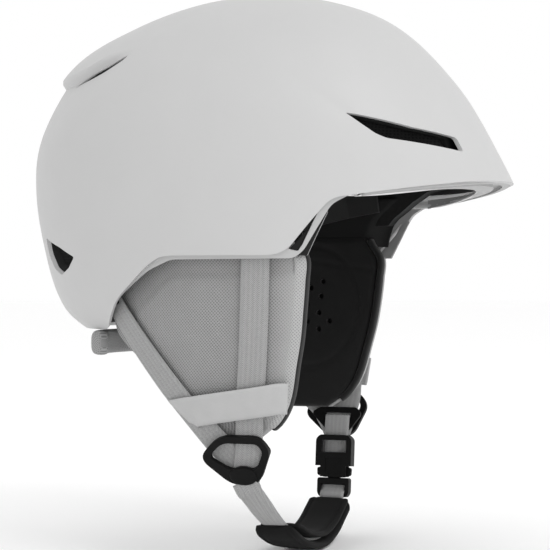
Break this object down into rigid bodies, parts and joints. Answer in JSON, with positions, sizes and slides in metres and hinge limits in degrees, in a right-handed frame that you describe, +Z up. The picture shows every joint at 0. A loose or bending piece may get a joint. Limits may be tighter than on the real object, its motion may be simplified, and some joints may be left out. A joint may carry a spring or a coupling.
{
  "type": "ski helmet",
  "caption": "Hard-shell ski helmet with short brim, brow and rear vents, foam liner, rear fit dial, soft ear pads, webbing harness with clamping dividers and a side-release chin buckle",
  "frame": {"origin": "the crown of the wearer's head, where it meets the underside of the crown pad", "axes": "+Z up, -Y forward (brim), +X the wearer's left"},
  "size_m": [0.2124, 0.274, 0.3089],
  "materials": {
    "shell_plastic": "satin light grey-white",
    "trim_plastic": "matte light grey",
    "liner_foam": "matte black expanded foam",
    "vent_mesh": "matte black mesh",
    "mesh_fabric": "grey diamond-mesh fabric",
    "binding_tape": "light grey woven tape",
    "band_fabric": "smooth light grey knitted band",
    "webbing": "light grey chevron webbing",
    "snap_steel": "brushed",
    "buckle_plastic": "satin black",
    "fit_plastic": "matte dark grey",
    "padding_fabric": "matte black brushed fabric"
  },
  "bodies": {
    "helmet": {"brim_underside": "trim_plastic", "brow_pad": "padding_fabric", "brow_vent_screen_left": "vent_mesh", "brow_vent_screen_right": "vent_mesh", "crown_pad": "padding_fabric", "dial_housing": "fit_plastic", "divider_plate_left": "buckle_plastic", "divider_plate_right": "buckle_plastic", "ear_binding_left": "binding_tape", "ear_binding_right": "binding_tape", "ear_lining_left": "padding_fabric", "ear_lining_right": "padding_fabric", "ear_pad_left": "mesh_fabric", "ear_pad_right": "mesh_fabric", "edge_trim_left": "trim_plastic", "edge_trim_right": "trim_plastic", "exhaust_screen_left": "vent_mesh", "exhaust_screen_right": "vent_mesh", "fit_band_left": "fit_plastic", "fit_band_right": "fit_plastic", "foam_liner": "liner_foam", "front_strap_left": "webbing", "front_strap_right": "webbing", "neck_pad": "mesh_fabric", "outer_shell": "shell_plastic", "pad_band_left": "band_fabric", "pad_band_right": "band_fabric", "pad_snap_front_left": "snap_steel", "pad_snap_front_right": "snap_steel", "pad_snap_rear_left": "snap_steel", "pad_snap_rear_right": "snap_steel", "rear_pad": "padding_fabric", "rear_strap_left": "webbing", "rear_strap_right": "webbing", "rear_vent_screen_left": "vent_mesh", "rear_vent_screen_right": "vent_mesh", "side_pad_left": "padding_fabric", "side_pad_right": "padding_fabric", "strap_anchor_front_left": "fit_plastic", "strap_anchor_front_right": "fit_plastic", "strap_anchor_rear_left": "fit_plastic", "strap_anchor_rear_right": "fit_plastic", "temple_pad_left": "padding_fabric", "temple_pad_right": "padding_fabric"},
    "fit_dial": {"fit_dial": "fit_plastic", "dial_pinion": "fit_plastic"},
    "rack_left": {"rack_tail_left": "fit_plastic"},
    "rack_right": {"rack_tail_right": "fit_plastic"},
    "chin_loop": {"chin_strap_short": "webbing", "buckle_socket": "buckle_plastic"},
    "chin_strap": {"chin_strap_long": "webbing", "chin_pad_outer": "padding_fabric", "chin_pad_inner": "padding_fabric", "buckle_plug": "buckle_plastic"},
    "prong_front": {"buckle_prong_front": "buckle_plastic"},
    "prong_rear": {"buckle_prong_rear": "buckle_plastic"},
    "divider_clamp_left": {"divider_clamp_left": "buckle_plastic"},
    "divider_clamp_right": {"divider_clamp_right": "buckle_plastic"}
  },
  "joints": [
    {"name": "fit_dial_turn", "type": "hinge", "parent": "helmet", "child": "fit_dial", "pos_m": [0, 0.105, -0.133], "axis": [0, -1, 0], "range_deg": [0, 140]},
    {"name": "rack_left_slide", "type": "slide", "parent": "helmet", "child": "rack_left", "axis": [-1, 0, 0], "range_m": [0, 0.0123]},
    {"name": "rack_right_slide", "type": "slide", "parent": "helmet", "child": "rack_right", "axis": [1, 0, 0], "range_m": [0, 0.0123]},
    {"name": "chin_loop_swing", "type": "hinge", "parent": "helmet", "child": "chin_loop", "pos_m": [0.069, -0.0175, -0.2035], "axis": [0.9793, -0.0764, 0.1875], "range_deg": [-13, 8]},
    {"name": "chin_strap_open", "type": "hinge", "parent": "chin_loop", "child": "chin_strap", "pos_m": [-0.072, -0.0065, -0.2305], "axis": [0, 1, 0], "range_deg": [0, 40]},
    {"name": "prong_front_squeeze", "type": "hinge", "parent": "chin_strap", "child": "prong_front", "pos_m": [0.06118, -0.0225, -0.24157], "axis": [-0.9938, 0, 0.1115], "range_deg": [0, 6], "stiffness_Nm_per_rad": 0.02},
    {"name": "prong_rear_squeeze", "type": "hinge", "parent": "chin_strap", "child": "prong_rear", "pos_m": [0.06118, -0.0125, -0.24157], "axis": [0.9938, 0, -0.1115], "range_deg": [0, 6], "stiffness_Nm_per_rad": 0.02},
    {"name": "divider_clamp_right_open", "type": "hinge", "parent": "helmet", "child": "divider_clamp_right", "pos_m": [-0.08049, -0.0065, -0.20495], "axis": [0, 1, 0], "range_deg": [0, 60]},
    {"name": "divider_clamp_left_open", "type": "hinge", "parent": "helmet", "child": "divider_clamp_left", "pos_m": [0.08299, -0.0172, -0.19295], "axis": [0, -1, 0], "range_deg": [0, 60]}
  ],
  "couplings": [
    {"joint": "rack_left_slide", "follows": "fit_dial_turn", "m_per_rad": 0.005},
    {"joint": "rack_right_slide", "follows": "fit_dial_turn", "m_per_rad": 0.005}
  ]
}
